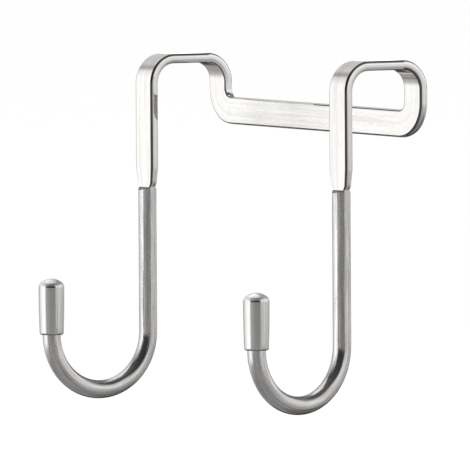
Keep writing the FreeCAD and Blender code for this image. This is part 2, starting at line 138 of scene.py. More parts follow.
# Panels hung in it, each in front of those listed above it: compass angle of the middle,
# anticlockwise from +X, half the width and softness of the edge, all in degrees, then its
# brightness and how strongly it shows by elevation
TENT_PANELS = {
    "grey_wall": (-84, 22, 22, 0.52, ((-40, 0.0), (-14, 0.8), (-2, 1.0), (5, 0.0))),
    "side_wall": (
        -170, 30, 8, 0.68,
        ((-38, 0.0), (-14, 1.0), (14, 1.0), (36, 0.3), (54, 0.0)),
    ),
    "soft_edge": (
        -146, 12, 4, 1.19,
        ((-38, 0.0), (-25, 0.14), (-14, 1.0), (14, 1.0), (36, 0.42), (58, 0.0)),
    ),
    "soft_box": (
        -113, 22, 6, 1.5,
        ((-38, 0.0), (-25, 0.14), (-14, 1.0), (14, 1.0), (36, 0.38), (56, 0.0)),
    ),
    "back_wall": (
        150, 46, 12, 0.64,
        ((-8, 0.0), (-3, 0.8), (12, 1.0), (50, 1.0), (60, 0.0)),
    ),
    "pale_wall": (
        53, 52, 8, 1.0,
        (
            (-42, 0.0), (-14, 0.26), (-3, 0.6), (4, 1.0),
            (30, 1.0), (38, 0.6), (46, 0.2), (56, 0.0),
        ),
    ),
    "window": (37, 10, 7, 0.82, ((-12, 0.0), (-7, 1.0), (4, 1.0), (10, 0.0))),
    "ceiling": (158, 62, 12, 1.15, ((54, 0.0), (63, 1.0))),
    "dark_corner": (114, 26, 8, 0.2, ((9, 0.0), (17, 1.0), (54, 1.0), (62, 0.0))),
    "table_shade": (88, 34, 16, 0.2, ((-80, 0.0), (-62, 1.0), (-34, 1.0), (-24, 0.0))),
    "far_shade": (135, 28, 12, 0.06, ((-60, 0.0), (-46, 1.0), (-16, 1.0), (-8, 0.0))),
    "back_ceiling": (176, 36, 10, 1.15, ((37, 0.0), (45, 1.0))),
    "backdrop": (143, 10, 3, 1.7, ((-10, 0.0), (-7, 1.0), (2, 1.0), (7, 0.0))),
}

# The stage: the floor's width, whiteness and share of light of its own, and the place,
# width and share of the power of each soft lamp
FLOOR_SIZE = 60.0
FLOOR_WHITE = 0.95
FLOOR_GLOW = 0.85
LAMPS = {
    "key_lamp": ((-0.9, -1.1, 1.3), 1.0, 1.0),
    "fill_lamp": ((1.2, 0.9, 1.2), 1.2, 0.5),
}
LAMP_TARGET = (0, 0, -0.04)

# The photograph's viewpoint, found from the object's corners
CAMERA_PLACE = (2.118466, -1.623417, 0.089442)
CAMERA_YAW = math.radians(52.8118)
CAMERA_PITCH = math.radians(-2.897)
CAMERA_ROLL = math.radians(-0.3102)
CAMERA_LENS = 756.62
CAMERA_SENSOR = 36.0


def length(name, description, millimetres):
    """A length property whose default is given in millimetres."""
    return FloatProperty(
        name=name,
        description=description,
        default=millimetres * MILLIMETRE,
        min=0.0,
        unit="LENGTH",
        subtype="DISTANCE",
        precision=5,
    )


def share(name, description, value):
    """A plain number from 0 to 1."""
    return FloatProperty(
        name=name, description=description, default=value, min=0.0, max=1.0, subtype="FACTOR"
    )


def rotation(name, description, degrees):
    """An angle property whose default is given in degrees."""
    return FloatProperty(
        name=name,
        description=description,
        default=math.radians(degrees),
        subtype="ANGLE",
        unit="ROTATION",
    )


def colour(name, description, value):
    """A colour property, linear red, green and blue."""
    return FloatVectorProperty(
        name=name,
        description=description,
        default=value,
        size=3,
        min=0.0,
        max=1.0,
        subtype="COLOR",
    )


class RodSizes(PropertyGroup):
    """Sizes of the bent rod and its pressed part."""

    rod_diameter: length("Rod diameter", "Round rod of the legs and hooks", 5.0)
    strip_width: length("Strip width", "Flat faces of the pressed part", 6.8)
    strip_thickness: length("Strip thickness", "Thickness of the pressed part", 2.55)
    arris_inset: length("Arris inset", "Bevel of the long edges, across the flats", 0.2)
    arris_drop: length("Arris drop", "The same bevel, down the sides", 0.15)
    arm_spacing: length("Arm spacing", "Between the centre lines of the arms", 86.4)
    door_gap: length("Door gap", "Clear depth between rods and crossbar", 21.6)
    strap_bend_radius: length("Strap bend radius", "Inside radius of the bends over the door", 5.5)
    bar_corner_radius: length("Corner radius", "Inside radius of the crossbar's corners", 2.1)
    bar_drop_left: length("Bar drop left", "Crossbar below the door's top, left", 13.2)
    bar_drop_right: length("Bar drop right", "Crossbar below the door's top, right", 14.9)
    flat_length_left: length("Flat length left", "Door's top to the left flats' foot", 33.6)
    flat_length_right: length("Flat length right", "Door's top to the right flats' foot", 31.6)
    taper_length: length("Taper length", "Where the flats narrow to the rod", 5.5)
    neck_length: length("Neck length", "Where the flats' corners are cut off", 1.1)
    neck_thickness: length("Neck thickness", "Thickness of the pressed part at its foot", 2.2)
    neck_spread: length("Neck spread", "How far the round sides are pushed out at the neck", 0.7)
    press_hollow: length("Press hollow", "Hollow where the flats run out", 0.35)
    shoulder_rounding: length("Shoulder rounding", "Rounding of the rod's shoulder", 0.3)
    shoulder_slope: rotation(
        "Shoulder slope", "Slope of the rod's shoulder below the flats", 18.0
    )
    hook_radius: length("Hook radius", "Radius of the hooks' centre line", 15.4)
    hook_drop: length("Hook drop", "Door's top down to the hooks' centres", 73.0)
    tip_length: length("Tip length", "Straight rod inside each cap", 12.9)
    hook_splay: rotation("Hook splay", "Turn of each hook outwards about its leg", 5.0)
    section_points: IntProperty(
        name="Section points", description="Points around the rod", default=72, min=24, max=144
    )


class CapSizes(PropertyGroup):
    """Sizes of an end cap."""

    cap_radius: length("Cap radius", "Outside radius of a cap", 3.55)
    cap_height: length("Cap height", "Height of a cap", 15.3)
    bore_radius: length("Bore radius", "Radius of the hole for the rod", 2.55)
    end_wall: length("End wall", "Metal above the rod's tip", 2.4)
    crown_radius: length("Crown radius", "Rounding between wall and top", 1.75)
    dome_radius: length("Dome radius", "Radius of the domed top", 4.5)
    rim_rounding: length("Rim rounding", "Rounding at the mouth", 0.65)
    mouth_taper: length("Mouth taper", "Narrowing of the wall towards the mouth", 0.22)
    section_points: IntProperty(
        name="Section points", description="Points around a cap", default=96, min=24, max=192
    )


class SteelFinish(PropertyGroup):
    """Colours and roughness of the steel."""

    rod_colour: colour("Rod colour", "Satin steel of the round rod", (0.76, 0.746, 0.73))
    flat_colour: colour(
        "Flat colour", "Brighter steel of the pressed flats", (0.9, 0.885, 0.863)
    )
    # Painted shade: dark lines along the pressed arrises and on the shoulders below the flats
    arris_shade_colour: colour(
        "Edge colour", "Darker steel of the pressed arrises", (0.17, 0.168, 0.163)
    )
    cap_colour: colour("Cap colour", "Polished steel of the caps", (0.71, 0.703, 0.688))
    # Painted shadow: a dark line at the caps' mouths, where the rod goes in
    rim_shadow_colour: colour("Rim colour", "Darker steel at the caps' mouths", (0.34, 0.335, 0.325))
    # Painted highlight: the caps' up-facing domed tops are painted white
    top_highlight_colour: colour("Top colour", "Frosted steel of the caps' domed tops", (1.0, 0.99, 0.975))
    rod_roughness: share("Rod roughness", "Satin finish of the rod", 0.13)
    flat_roughness: share("Flat roughness", "Finish of the pressed flats", 0.09)
    cap_roughness: share("Cap roughness", "Finish of the caps", 0.1)
    top_roughness: share("Top roughness", "Finish of the caps' domed tops", 0.42)


class StageSettings(PropertyGroup):
    """Light and floor of the stage."""

    key_power: FloatProperty(
        name="Key power", description="Large soft lamp, in watts", default=14.0, min=0.0
    )
    floor_drop: FloatProperty(
        name="Floor drop",
        description="Floor below the hooks",
        default=0.03,
        min=0.0,
        unit="LENGTH",
        subtype="DISTANCE",
    )


# Steps that the operators share


def start_afresh():
    """Deselect everything before a new piece is added."""
    bpy.ops.object.select_all(action="DESELECT")


def select_points(piece, wanted):
    """Select the points of the edited piece for which wanted(index, place) holds."""
    mesh = bmesh.from_edit_mesh(piece.data)
    mesh.verts.ensure_lookup_table()
    for face in mesh.faces:
        face.select_set(False)
    for edge in mesh.edges:
        edge.select_set(False)
    for point in mesh.verts:
        point.select_set(bool(wanted(point.index, point.co)))
    mesh.select_flush(True)
    bmesh.update_edit_mesh(piece.data, loop_triangles=False, destructive=False)


def select_last_ring(piece, ring_points):
    """Select the ring of points that was made last."""
    first = len(bmesh.from_edit_mesh(piece.data).verts) - ring_points
    select_points(piece, lambda index, place: index >= first)


def draw_out(offset):
    """Extrude the selected ring along an offset."""
    bpy.ops.mesh.extrude_region_move(TRANSFORM_OT_translate={"value": tuple(offset)})


def bend(centre, axis, angle, steps):
    """Sweep the selected ring about an axis, right-handed."""
    bpy.ops.mesh.spin(steps=steps, angle=-angle, center=tuple(centre), axis=tuple(axis))


def scale_about(centre, factors):
    """Scale what is selected about a fixed point."""
    bpy.ops.transform.resize(value=tuple(factors), center_override=tuple(centre))


def shift_by(offset):
    """Move what is selected."""
    bpy.ops.transform.translate(value=tuple(offset))


def settle():
    """Merge the active piece's doubled points, turn it outwards and shade it smooth."""
    bpy.ops.object.mode_set(mode="EDIT")
    bpy.ops.mesh.select_all(action="SELECT")
    bpy.ops.mesh.remove_doubles(threshold=MERGE_WITHIN)
    bpy.ops.mesh.normals_make_consistent(inside=False)
    bpy.ops.object.mode_set(mode="OBJECT")
    bpy.ops.object.transform_apply(location=True, rotation=True, scale=True)
    bpy.ops.object.shade_smooth_by_angle(angle=SHARP_EDGE)


# The bent rod

# A section of the pressed rod: half its thickness, half the height of its round sides,
# half the width of its flats, and how far its round sides are pushed out
Section = namedtuple("Section", "half_thickness half_side half_flat push")


def flatten_ring(piece, ring_points, axis_point, level):
    """Press the last ring's front and back down to level either side of its middle."""
    first = len(bmesh.from_edit_mesh(piece.data).verts) - ring_points
    middle = axis_point.y
    for side in (-1, 1):
        plane = middle + side * level
        select_points(
            piece,
            lambda index, place: index >= first and (place.y - plane) * side > BEYOND,
        )
        scale_about((axis_point.x, plane, axis_point.z), (1, 0, 1))


def reshape_ring(piece, ring_points, axis_point, was, now):
    """Turn the last ring from one section of the pressed rod, was, into another, now."""
    first = len(bmesh.from_edit_mesh(piece.data).verts) - ring_points
    middle = axis_point.y
    on_flat = was.half_thickness - ON_FLAT_WITHIN
    for side in (-1, 1):
        select_points(
            piece,
            lambda index, place: index >= first
            and abs(place.y - middle) < on_flat
            and (place.x - axis_point.x) * side > 0,
        )
        scale_about(axis_point, (1, now.half_side / was.half_side, 1))
        shift_by((side * (now.push - was.push), 0, 0))
    select_points(
        piece, lambda index, place: index >= first and abs(place.y - middle) >= on_flat
    )
    growth = (now.half_flat / was.half_flat, now.half_thickness / was.half_thickness, 1)
    scale_about(axis_point, growth)


def press_profile(sizes):
    """Height above the rod's shoulder and half thickness of each ring, up to the flats."""
    slope = sizes.shoulder_slope
    radius = sizes.rod_diameter / 2
    rounding = sizes.shoulder_rounding
    hollow = sizes.press_hollow
    foot = sizes.neck_thickness / 2
    low_level = radius - rounding * (1 - math.sin(slope))
    high_level = foot + hollow * (1 - math.sin(slope))
    rise = (low_level - high_level) * math.tan(slope)
    profile = []
    rounding_steps = 4
    for step in range(1, rounding_steps + 1):
        angle = (QUARTER_TURN - slope) * step / rounding_steps
        profile.append((rounding * math.sin(angle), radius - rounding * (1 - math.cos(angle))))
    shelf_low = profile[-1][0]
    shelf_steps = 8
    for step in range(1, shelf_steps + 1):
        part = step / shelf_steps
        level = low_level + (high_level - low_level) * part
        profile.append((shelf_low + rise * part, level))
    hollow_low = profile[-1][0]
    hollow_steps = 6
    for step in range(1, hollow_steps + 1):
        angle = slope + (QUARTER_TURN - slope) * step / hollow_steps
        height = hollow_low + hollow * (math.cos(slope) - math.cos(angle))
        profile.append((height, foot + hollow * (1 - math.sin(angle))))
    return profile


def last_side_point(sizes):
    """The section's last point, counted from its widest, that the press leaves round."""
    arris = math.asin(sizes.neck_thickness / sizes.rod_diameter)
    return math.floor(arris / (2 * math.pi / sizes.section_points))


def side_spread(sizes):
    """How far the press pushes the rod's round sides out."""
    rod_radius = sizes.rod_diameter / 2
    half_thickness = sizes.strip_thickness / 2
    return sizes.strip_width / 2 - math.sqrt(rod_radius**2 - half_thickness**2)


def flat_sections(sizes):
    """Sections of the pressed rod at its foot, at the neck and at its full width."""
    rod_radius = sizes.rod_diameter / 2
    half_thickness = sizes.strip_thickness / 2
    neck_half = sizes.neck_thickness / 2
    neck_chord = math.sqrt(rod_radius**2 - neck_half**2)
    point_angle = 2 * math.pi / sizes.section_points
    side_height = rod_radius * math.sin(last_side_point(sizes) * point_angle)
    flat_edge = rod_radius * math.cos((last_side_point(sizes) + 1) * point_angle)
    return (
        Section(neck_half, side_height, flat_edge, 0.0),
        Section(
            neck_half,
            neck_half - sizes.arris_drop,
            neck_chord + sizes.neck_spread - sizes.arris_inset,
            sizes.neck_spread,
        ),
        Section(
            half_thickness,
            half_thickness - sizes.arris_drop,
            sizes.strip_width / 2 - sizes.arris_inset,
            side_spread(sizes),
        ),
    )


def bend_hook(sizes, name, side, leg_x, leg_y):
    """Start an arm at its hook's tip: down inside the cap and round the bend."""
    splay = side * sizes.hook_splay
    reach = 2 * sizes.hook_radius
    tip = Vector(
        (
            leg_x + reach * math.sin(splay),
            leg_y - reach * math.cos(splay),
            sizes.tip_length - sizes.hook_drop,
        )
    )
    start_afresh()
    bpy.ops.mesh.primitive_circle_add(
        vertices=sizes.section_points,
        radius=sizes.rod_diameter / 2,
        location=tip,
        rotation=(0, 0, 2 * splay),
    )
    arm = bpy.context.object
    arm.name = name
    bpy.ops.object.transform_apply(location=True, rotation=True, scale=True)
    bpy.ops.object.mode_set(mode="EDIT")
    bpy.ops.mesh.select_mode(type="VERT")
    bpy.ops.mesh.select_all(action="SELECT")
    draw_out((0, 0, -sizes.tip_length))
    centre = Vector(((tip.x + leg_x) / 2, (tip.y + leg_y) / 2, -sizes.hook_drop))
    bend(centre, Vector((math.cos(splay), math.sin(splay), 0)), HALF_TURN, HOOK_STEPS)
    return arm


def press_shoulder(arm, sizes, leg_x, leg_y, low):
    """Press the leg from round to flat: rounding, sloping shelf and hollow.

    Each ring is pressed a little flatter than the one below. Returns the middle of the
    last one.
    """
    points = sizes.section_points
    here = Vector((leg_x, leg_y, low))
    for height, level in press_profile(sizes):
        select_last_ring(arm, points)
        draw_out((0, 0, low + height - here.z))
        here.z = low + height
        flatten_ring(arm, points, here, level)
    return here


def widen_flats(arm, sizes, here):
    """Widen the flats over the neck and the taper, and move here up with them."""
    points = sizes.section_points
    sections = flat_sections(sizes)
    lengths = (sizes.neck_length, sizes.taper_length - sizes.neck_length)
    taper_steps = 4
    for start, end, run in zip(sections, sections[1:], lengths):
        was = start
        for step in range(1, taper_steps + 1):
            part = step / taper_steps
            now = Section(*(a + (b - a) * part for a, b in zip(start, end)))
            select_last_ring(arm, points)
            draw_out((0, 0, run / taper_steps))
            here.z += run / taper_steps
            reshape_ring(arm, points, here, was, now)
            was = now
    select_last_ring(arm, points)


def make_arm(sizes, name, side, flat_length, bar_drop, other_drop):
    """Bend one arm from its hook's tip to the middle of the crossbar.

    side is -1 for the left arm and 1 for the right arm.
    """
    rod_radius = sizes.rod_diameter / 2
    half_thickness = sizes.strip_thickness / 2
    leg_x = side * sizes.arm_spacing / 2
    leg_y = -(sizes.door_gap / 2 + rod_radius)
    back_y = sizes.door_gap / 2 + half_thickness
    strap_bend = sizes.strap_bend_radius + half_thickness
    corner_bend = sizes.bar_corner_radius + rod_radius + side_spread(sizes)

    # The hook, the round leg and its pressed part up to the bend over the door
    arm = bend_hook(sizes, name, side, leg_x, leg_y)
    low = -flat_length - press_profile(sizes)[-1][0]
    draw_out((0, 0, low + sizes.hook_drop))
    here = press_shoulder(arm, sizes, leg_x, leg_y, low)
    widen_flats(arm, sizes, here)
    draw_out((0, 0, -sizes.strap_bend_radius - here.z))

    # Over the door and down behind it
    x_axis = Vector((1, 0, 0))
    front = (leg_x, leg_y + strap_bend, -sizes.strap_bend_radius)
    bend(front, x_axis, -QUARTER_TURN, STRAP_STEPS)
    draw_out((0, back_y - leg_y - 2 * strap_bend, 0))
    back = (leg_x, back_y - strap_bend, -sizes.strap_bend_radius)
    bend(back, x_axis, -QUARTER_TURN, STRAP_STEPS)

    # The corner and half of the crossbar, which slopes from one arm to the other
    slope = math.atan2(other_drop - bar_drop, sizes.arm_spacing)
    cut = corner_bend * math.tan((QUARTER_TURN - slope) / 2)
    corner_z = cut - bar_drop
    draw_out((0, 0, corner_z + sizes.strap_bend_radius))
    y_axis = Vector((0, 1, 0))
    corner = (leg_x - side * corner_bend, back_y, corner_z)
    bend(corner, y_axis, side * (QUARTER_TURN - slope), CORNER_STEPS)
    bar_middle = Vector((0, back_y, -(bar_drop + other_drop) / 2))
    bar_start = Vector(
        (leg_x - side * cut * math.cos(slope), back_y, -bar_drop - cut * math.sin(slope))
    )
    draw_out(bar_middle - bar_start)
    bpy.ops.object.mode_set(mode="OBJECT")
    return arm


def ring_places(arm, points):
    """The points of an arm, ring by ring, and the length of rod up to each ring."""
    place = np.empty(len(arm.data.vertices) * 3, np.float32)
    arm.data.vertices.foreach_get("co", place)
    rings = place.reshape(-1, points, 3)
    steps = np.linalg.norm(np.diff(rings.mean(axis=1), axis=0), axis=1)
    return rings, np.concatenate([[0.0], np.cumsum(steps)])


def mark_rod_line(arm, points, side, whole_length):
    """Keep on each point where it lay in the straight rod, before the rod was bent."""
    rings, along = ring_places(arm, points)
    around = np.arange(points) * 2 * math.pi / points
    line = np.empty_like(rings)
    line[:, :, 0] = side * np.sin(around)
    line[:, :, 1] = np.cos(around)
    line[:, :, 2] = (along if side < 0 else whole_length - along)[:, None]
    attribute = arm.data.attributes.new(ROD_LINE, "FLOAT_VECTOR", "POINT")
    attribute.data.foreach_set("vector", line.ravel())


class HOOK_OT_bend_rod(Operator):
    """Bend the rod, press its middle flat and form both hooks"""

    bl_idname = "hook.bend_rod"
    bl_label = "Bend Rod"

    def execute(self, context):
        sizes = context.scene.hook_rod
        finish = context.scene.hook_finish
        points = sizes.section_points
        flats = (sizes.flat_length_left, sizes.flat_length_right)
        drops = (sizes.bar_drop_left, sizes.bar_drop_right)
        left = make_arm(sizes, "bent_rod", -1, flats[0], drops[0], drops[1])
        right = make_arm(sizes, "right_arm", 1, flats[1], drops[1], drops[0])
        whole_length = sum(float(ring_places(arm, points)[1][-1]) for arm in (left, right))
        mark_rod_line(left, points, -1, whole_length)
        mark_rod_line(right, points, 1, whole_length)
        start_afresh()
        for arm in (right, left):
            arm.select_set(True)
        context.view_layer.objects.active = left
        bpy.ops.object.join()
        rod = context.object
        bpy.ops.object.mode_set(mode="EDIT")
        bpy.ops.mesh.select_all(action="SELECT")
        bpy.ops.mesh.remove_doubles(threshold=JOIN_WITHIN)
        bpy.ops.mesh.select_all(action="DESELECT")
        bpy.ops.mesh.select_non_manifold()
        bpy.ops.mesh.edge_face_add()
        bpy.ops.object.mode_set(mode="OBJECT")
        settle()
        bar = sizes.arm_spacing / 2
        for material in (
            steel_material("satin_rod", finish.rod_colour, finish.rod_roughness, streaks=1.0),
            steel_material(
                "pressed_flat",
                finish.flat_colour,
                finish.flat_roughness,
                streaks=0.5,
                lines=FLAT_LINES,
                brushed=(whole_length / 2, BRUSHED_SHARE * bar, bar),
            ),
            # Painted shade for the arrises and the shoulders below the flats
            steel_material(
                "painted_arris_shade", finish.arris_shade_colour, finish.rod_roughness, streaks=0.6
            ),
        ):
            rod.data.materials.append(material)
        paint_flats(rod, sizes)
        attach(rod, "root")
        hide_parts("bent_frame")
        return {"FINISHED"}


def paint_flats(rod, sizes):
    """Give the pressed part its brighter finish and its arrises painted lines of shade and dark
    reflection.

    The painted shade and dark reflections darken the outer arrises in front and over the door, the
    inner ones over the door and behind it, and the shoulders below the flats.
    """
    line = np.empty(len(rod.data.vertices) * 3, np.float32)
    rod.data.attributes[ROD_LINE].data.foreach_get("vector", line)
    across = line.reshape(-1, 3)[:, 1]
    step = 2 * math.pi / sizes.section_points
    last = last_side_point(sizes)
    slack = 0.001
    # A painted dark line of shade starts at a face's last point before the arris, or one or two
    # points before that, and ends just past the arris
    wide = math.sin((last - 2) * step) - slack
    middling = math.sin((last - 1) * step) - slack
    narrow = math.sin(last * step) - slack
    high = math.sin((last + 1) * step) + slack
    shoulder = press_profile(sizes)[-1][0]
    over_door = sizes.door_gap / 2 - sizes.strap_bend_radius
    legs = (sizes.arm_spacing - sizes.strip_width) / 2
    bar_z = -(sizes.bar_drop_left + sizes.bar_drop_right) / 2
    for face in rod.data.polygons:
        place = face.center
        on_left = place.x < 0
        flat_length = sizes.flat_length_left if on_left else sizes.flat_length_right
        if place.z < -flat_length:
            # Painted shade on the up-facing faces of the shoulder below the flats
            if place.z > -flat_length - shoulder and face.normal.z > FACES_UP:
                face.material_index = ARRIS_SHADE_PAINT
            continue
        face.material_index = FLAT_PAINT
        on_leg = abs(place.x) > legs
        above_gap = place.z > -sizes.strap_bend_radius
        bar_top = place.z > bar_z and on_left and not on_leg
        inner_start = -over_door if on_left else over_door
        outer_low = wide if place.y < over_door else middling if above_gap else narrow
        inner_low = wide if on_leg and place.y > inner_start else narrow
        spread = across[list(face.vertices)]
        outer = spread.min() > outer_low and spread.max() < high
        inner = spread.max() < -inner_low and spread.min() > -high
        # Painted shade and dark reflection along the arrises, left off the inner arris on top of
        # the crossbar's left half
        if outer or inner and (place.y > 0 or above_gap) and not bar_top:
            face.material_index = ARRIS_SHADE_PAINT


# The end caps


def cap_profile(sizes):
    """Radius and height of each ring, from inside the mouth round the rim to the top."""
    wall = sizes.cap_radius
    rim = sizes.rim_rounding
    height = sizes.cap_height
    crown = sizes.crown_radius
    dome = sizes.dome_radius
    crown_centre = wall - crown
    tilt = math.asin(crown_centre / (dome - crown))
    dome_low = height - dome
    crown_height = dome_low + (dome - crown) * math.cos(tilt)
    bore = sizes.bore_radius
    bore_bevel = 0.1 * MILLIMETRE
    mouth = wall - sizes.mouth_taper
    profile = [
        (bore, height - sizes.end_wall),
        (bore, 2 * bore_bevel),
        (bore + bore_bevel, 0.0),
        (mouth - rim, 0.0),
    ]
    rim_steps = 6
    for step in range(1, rim_steps):
        angle = QUARTER_TURN * step / rim_steps
        profile.append((mouth - rim + rim * math.sin(angle), rim - rim * math.cos(angle)))
    wall_steps = 8
    for step in range(wall_steps + 1):
        part = step / wall_steps
        radius = wall - sizes.mouth_taper * (1 - part) ** 2
        profile.append((radius, rim + (crown_height - rim) * part))
    crown_steps = 12
    for step in range(1, crown_steps + 1):
        angle = (QUARTER_TURN - tilt) * step / crown_steps
        radius = crown_centre + crown * math.cos(angle)
        profile.append((radius, crown_height + crown * math.sin(angle)))
    dome_steps = 8
    for step in range(1, dome_steps):
        angle = tilt * (1 - step / dome_steps)
        profile.append((dome * math.sin(angle), dome_low + dome * math.cos(angle)))
    return profile


def make_cap(sizes, name, node):
    """Raise one cap ring by ring, up from the roof of its bore."""
    low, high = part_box(node)
    axis = Vector(((low.x + high.x) / 2, (low.y + high.y) / 2, low.z))
    points = sizes.section_points
    profile = cap_profile(sizes)
    radius, height = profile[0]
    roof = axis + Vector((0, 0, height))
    start_afresh()
    bpy.ops.mesh.primitive_circle_add(
        vertices=points, radius=radius, fill_type="TRIFAN", location=roof
    )
    cap = bpy.context.object
    cap.name = name
    bpy.ops.object.transform_apply(location=True, rotation=True, scale=True)
    bpy.ops.object.mode_set(mode="EDIT")
    bpy.ops.mesh.select_mode(type="VERT")
    select_points(cap, lambda index, place: (place - roof).length > radius / 2)
    for next_radius, next_height in profile[1:]:
        bpy.ops.mesh.extrude_edges_move(
            TRANSFORM_OT_translate={"value": (0, 0, next_height - height)}
        )
        growth = next_radius / radius
        scale_about(axis, (growth, growth, 1))
        radius, height = next_radius, next_height
        select_last_ring(cap, points)
    bpy.ops.mesh.extrude_edges_move(
        TRANSFORM_OT_translate={"value": (0, 0, sizes.cap_height - height)}
    )
    bpy.ops.mesh.merge(type="CENTER")
    bpy.ops.object.mode_set(mode="OBJECT")
    settle()
    return cap


def shade_ends(cap, sizes):
    """Paint a shadow line on the mouth's turned-in edge and a white highlight on the rougher top.
    """
    foot = min(point.co.z for point in cap.data.vertices)
    rim_top = foot + RIM_SHADE_SHARE * sizes.rim_rounding
    for face in cap.data.polygons:
        # Painted shadow under the rim at the mouth
        if face.center.z < rim_top and face.normal.z < 0:
            face.material_index = RIM_SHADOW_PAINT
        # Painted highlight: faces that look up are painted white
        elif face.normal.z > FACES_UP:
            face.material_index = TOP_HIGHLIGHT_PAINT


class HOOK_OT_press_caps(Operator):
    """Press a polished cap over the tip of each hook"""

    bl_idname = "hook.press_caps"
    bl_label = "Press Caps"

    def execute(self, context):
        sizes = context.scene.hook_cap
        finish = context.scene.hook_finish
        materials = [
            steel_material(name, tint, roughness, streaks, along_rod=False)
            for name, tint, roughness, streaks in (
                ("polished_cap", finish.cap_colour, finish.cap_roughness, 0.3),
                # The rim's painted shadow and the top's painted white highlight
                ("rim_shade", finish.rim_shadow_colour, finish.rod_roughness, 0.3),
                ("painted_highlight_top", finish.top_highlight_colour, finish.top_roughness, 0.1),
            )
        ]
        for side in ("left", "right"):
            cap = make_cap(sizes, side + "_cap", side + "_end_cap")
            for material in materials:
                cap.data.materials.append(material)
            shade_ends(cap, sizes)
            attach(cap, "root")
            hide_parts(side + "_end_cap")
        return {"FINISHED"}


# Finishes


def put_node(tree, kind, x, y, defaults=(), **settings):
    """Add a node to a tree; defaults gives values for its inputs by name or number."""
    node = tree.nodes.new(kind)
    node.location = (x, y)
    for key, value in settings.items():
        setattr(node, key, value)
    for key, value in dict(defaults).items():
        node.inputs[key].default_value = value
    return node


def range_node(tree, x, y, source, limits, spread):
    """Map a value from between two limits to a spread between two others."""
    inputs = dict(zip(("From Min", "From Max", "To Min", "To Max"), (*limits, *spread)))
    node = put_node(tree, "ShaderNodeMapRange", x, y, inputs)
    tree.links.new(source, node.inputs["Value"])
    return node.outputs["Result"]


def steel_marks(tree, where, textures):
    """Noises stretched over the steel, each by its scaling, scale and detail."""
    noises = []
    for row, (scaling, scale, detail) in enumerate(textures):
        y = -300 * row
        mapping = put_node(tree, "ShaderNodeMapping", -1200, y, {"Scale": scaling})
        tree.links.new(where, mapping.inputs["Vector"])
        finely = {"Scale": scale, "Detail": detail}
        noise = put_node(tree, "ShaderNodeTexNoise", -1000, y, finely)
        tree.links.new(mapping.outputs["Vector"], noise.inputs["Vector"])
        noises.append(noise.outputs["Fac"])
    return noises


def add_brushing(tree, where, roughness, brushed):
    """Make a length of the rod rougher, fading out towards its ends."""
    middle, inner, outer = brushed
    split = put_node(tree, "ShaderNodeSeparateXYZ", -1000, -900)
    tree.links.new(where, split.inputs["Vector"])
    away = put_node(tree, "ShaderNodeMath", -800, -900, {1: middle}, operation="SUBTRACT")
    tree.links.new(split.outputs["Z"], away.inputs[0])
    reach = put_node(tree, "ShaderNodeMath", -650, -900, operation="ABSOLUTE")
    tree.links.new(away.outputs["Value"], reach.inputs[0])
    extra = range_node(
        tree, -450, -900, reach.outputs["Value"], (outer, inner), (0.0, BRUSHED_EXTRA)
    )
    duller = put_node(tree, "ShaderNodeMath", -250, -600, operation="ADD")
    tree.links.new(roughness, duller.inputs[0])
    tree.links.new(extra, duller.inputs[1])
    return duller.outputs["Value"]


def steel_material(
    name, steel_colour, roughness, streaks, lines=ROD_LINES, along_rod=True, brushed=None
):
    """Steel with drawn lines and fine grain along the rod, or up a cap's own axis.

    streaks is how strongly the marks show. brushed gives the middle of a duller length
    of rod and the half lengths between which the dullness fades.
    """
    material = bpy.data.materials.new(name)
    material.use_nodes = True
    tree = material.node_tree
    shader = tree.nodes["Principled BSDF"]
    shader.inputs["Metallic"].default_value = 1.0
    shader.inputs["Roughness"].default_value = roughness
    link = tree.links.new
    if along_rod:
        source = put_node(tree, "ShaderNodeAttribute", -1400, 0, attribute_name=ROD_LINE)
        where = source.outputs["Vector"]
        drawn, fine = (1.0, 1.0, lines), (1.0, 1.0, GRAIN_FINENESS * lines)
    else:
        where = put_node(tree, "ShaderNodeTexCoord", -1400, 0).outputs["Object"]
        drawn, fine = CAP_LINES, CAP_GRAIN
    streak, grain, cloud = steel_marks(
        tree, where, ((drawn, 4.5, 5.0), (fine, 7.0, 3.0), (drawn, 1.6, 2.0))
    )
    both = put_node(tree, "ShaderNodeMix", -800, 0, {0: GRAIN_SHARE}, data_type="FLOAT")
    link(streak, both.inputs[2])
    link(grain, both.inputs[3])
    marks = both.outputs[0]

    darkest = 1.0 - STREAK_DARKNESS * streaks
    tone = range_node(tree, -550, 200, marks, MARK_LIMITS, (darkest, 1.0))
    tint = put_node(tree, "ShaderNodeMix", -300, 300, data_type="RGBA", blend_type="MULTIPLY")
    tint.inputs["Factor"].default_value = 1.0
    tint.inputs[6].default_value = (*steel_colour, 1.0)
    link(tone, tint.inputs[7])
    link(tint.outputs[2], shader.inputs["Base Color"])

    spread = (roughness * (1.0 - GLOSS_SPREAD), roughness * (1.0 + GLOSS_SPREAD))
    finish = range_node(tree, -550, -100, cloud, CLOUD_LIMITS, spread)
    if brushed:
        finish = add_brushing(tree, where, finish, brushed)
    link(finish, shader.inputs["Roughness"])

    relief = {"Strength": RELIEF_STRENGTH * streaks, "Distance": RELIEF_DEPTH}
    bump = put_node(tree, "ShaderNodeBump", -300, -300, relief)
    link(marks, bump.inputs["Height"])
    link(bump.outputs["Normal"], shader.inputs["Normal"])
    return material


# The stage


def height_ramp(tree, x, y, height, stops):
    """Grey by elevation in degrees, from straight down at -90 to straight up at 90."""
    node = put_node(tree, "ShaderNodeValToRGB", x, y)
    elements = node.color_ramp.elements
    while len(elements) > 1:
        elements.remove(elements[-1])
    for index, (angle, grey) in enumerate(stops):
        position = (math.sin(math.radians(angle)) + 1) / 2
        element = elements.new(position) if index else elements[0]
        element.position = position
        element.color = (grey, grey, grey, 1.0)
    tree.links.new(height, node.inputs["Fac"])
    return node.outputs["Color"]


